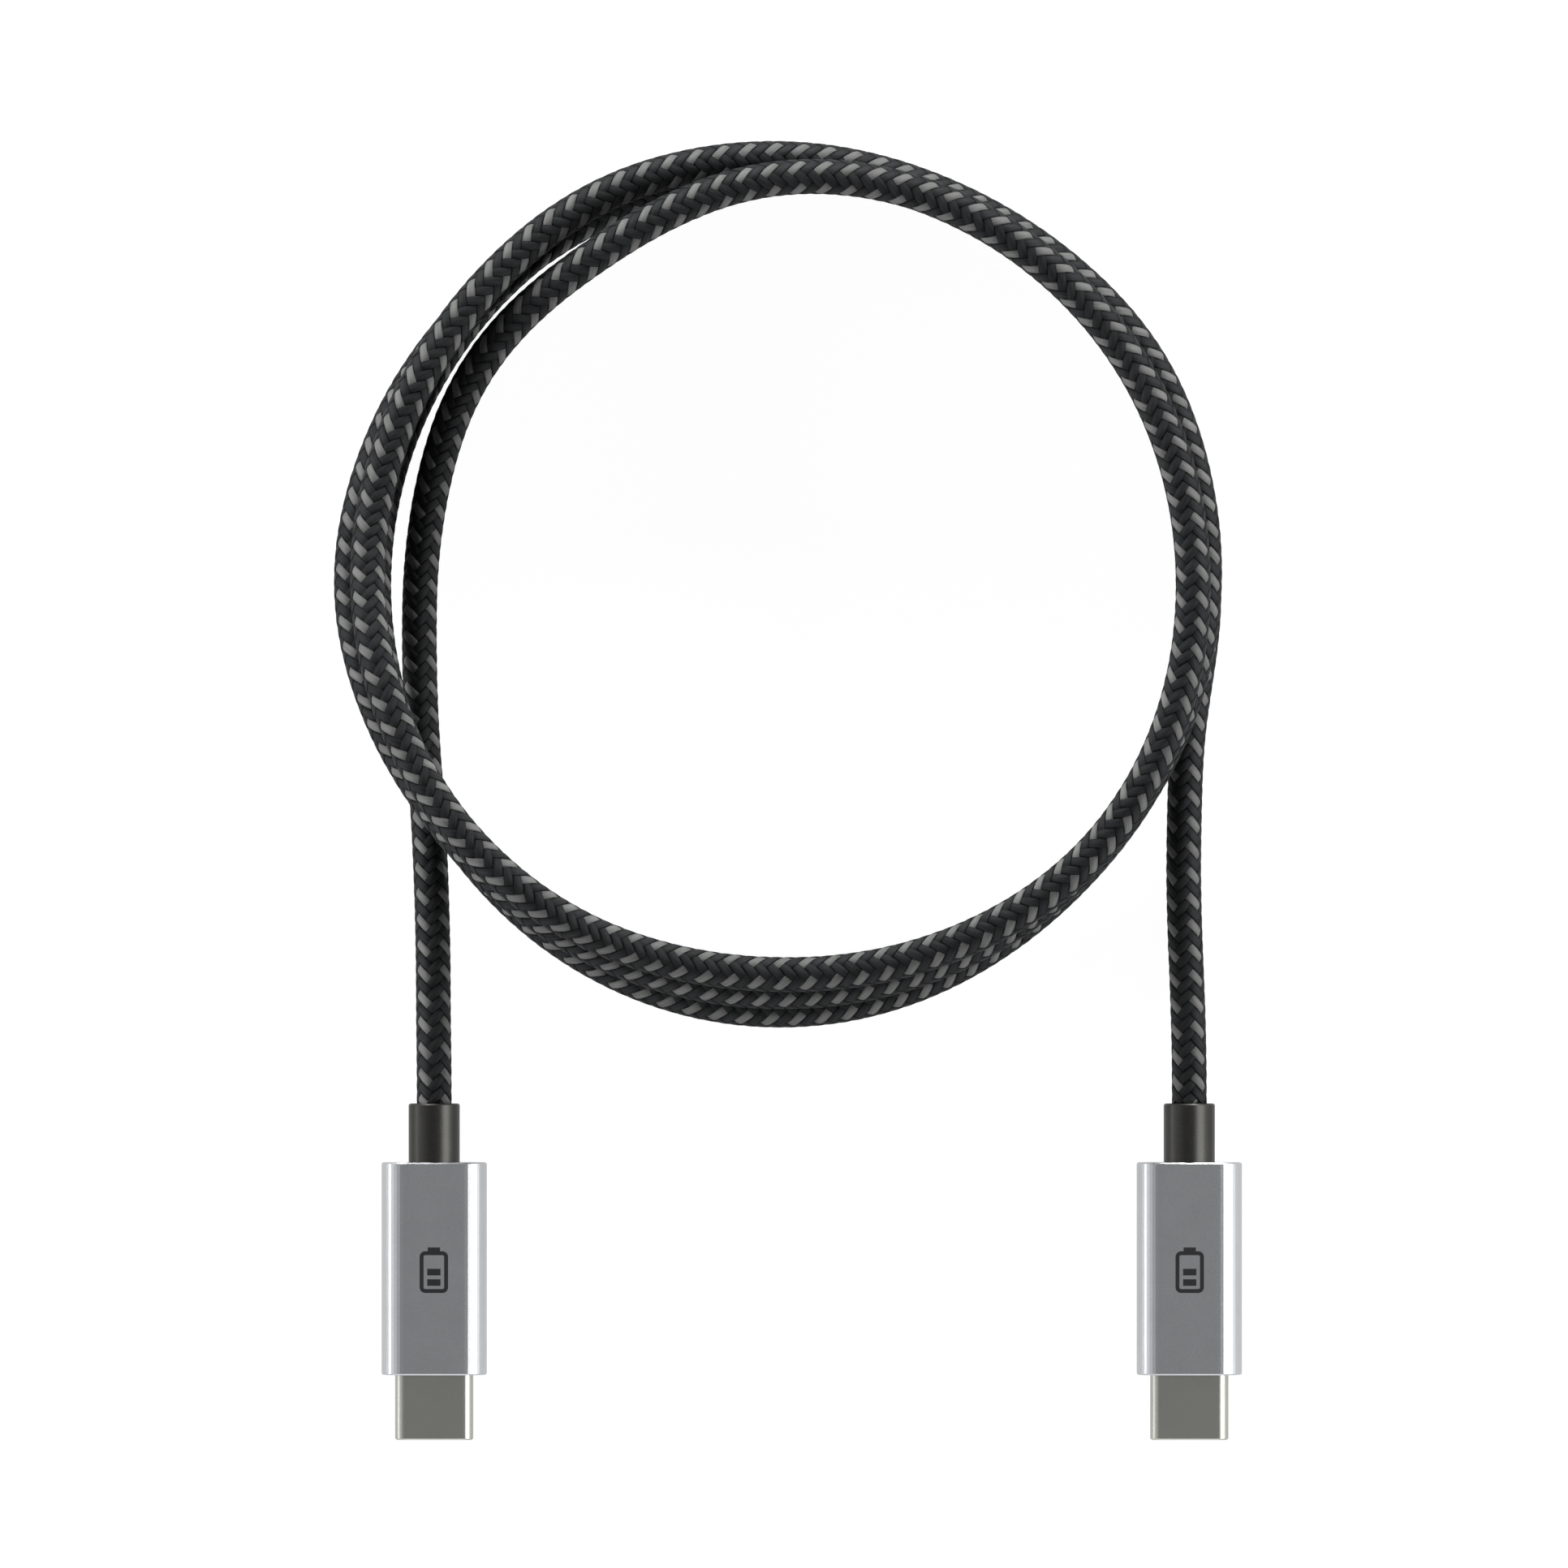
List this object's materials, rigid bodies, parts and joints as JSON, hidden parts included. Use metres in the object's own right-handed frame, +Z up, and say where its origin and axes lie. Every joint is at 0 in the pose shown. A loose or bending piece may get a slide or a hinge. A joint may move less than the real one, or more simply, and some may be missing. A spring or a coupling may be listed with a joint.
{
  "type": "charging cable",
  "caption": "Braided charging and data cable wound in a round flat coil, with a reversible oval-mouthed metal plug at each end.",
  "frame": {"origin": "on the table plane, midway between the two plugs and at the middle of their length", "axes": "+Z up off the table, +X from plug a to plug b, both plugs point along -Y and the coil lies towards +Y"},
  "size_m": [0.0961, 0.1373, 0.0148],
  "materials": {
    "cord_braid": "braided nylon yarn, charcoal with light grey yarns",
    "sleeve_aluminium": "satin anodised grey",
    "collar_steel": "dark brushed",
    "connector_steel": "satin stainless",
    "black_plastic": "matte moulded",
    "gold_contacts": "gold plated",
    "spring_steel": "stamped, bright",
    "card_laminate": "solder masked",
    "ceramic": "matte",
    "solder": "tinned",
    "red_insulation": "smooth",
    "black_insulation": "smooth",
    "green_insulation": "smooth",
    "white_insulation": "smooth",
    "blue_insulation": "smooth",
    "inner_plastic": "translucent white, moulded",
    "cord_jacket": "soft elastomer",
    "ferrule_brass": "crimped",
    "mark_ink": "printed"
  },
  "bodies": {
    "root": {"cord_coil": "cord_braid", "cord_tail_a": "cord_braid", "cord_tail_b": "cord_braid", "plug_shell_a": "connector_steel", "contact_housing_a": "black_plastic", "upper_contacts_a": "gold_contacts", "lower_contacts_a": "gold_contacts", "latch_plate_a": "spring_steel", "upper_ground_spring_a": "spring_steel", "lower_ground_spring_a": "spring_steel", "circuit_card_a": "card_laminate", "bypass_capacitor_a": "ceramic", "solder_joints_a": "solder", "power_wire_a": "red_insulation", "ground_wire_a": "black_insulation", "data_plus_wire_a": "green_insulation", "data_minus_wire_a": "white_insulation", "sense_wire_a": "blue_insulation", "inner_mold_a": "inner_plastic", "upper_shield_can_a": "spring_steel", "lower_shield_can_a": "spring_steel", "cord_jacket_end_a": "cord_jacket", "cord_braid_end_a": "cord_braid", "crimp_ferrule_a": "ferrule_brass", "strain_relief_collar_a": "collar_steel", "front_insert_a": "black_plastic", "plug_sleeve_a": "sleeve_aluminium", "battery_mark_a": "mark_ink", "plug_shell_b": "connector_steel", "contact_housing_b": "black_plastic", "upper_contacts_b": "gold_contacts", "lower_contacts_b": "gold_contacts", "latch_plate_b": "spring_steel", "upper_ground_spring_b": "spring_steel", "lower_ground_spring_b": "spring_steel", "circuit_card_b": "card_laminate", "bypass_capacitor_b": "ceramic", "solder_joints_b": "solder", "power_wire_b": "red_insulation", "ground_wire_b": "black_insulation", "data_plus_wire_b": "green_insulation", "data_minus_wire_b": "white_insulation", "sense_wire_b": "blue_insulation", "inner_mold_b": "inner_plastic", "upper_shield_can_b": "spring_steel", "lower_shield_can_b": "spring_steel", "cord_jacket_end_b": "cord_jacket", "cord_braid_end_b": "cord_braid", "crimp_ferrule_b": "ferrule_brass", "strain_relief_collar_b": "collar_steel", "front_insert_b": "black_plastic", "plug_sleeve_b": "sleeve_aluminium", "battery_mark_b": "mark_ink"}
  },
  "joints": []
}
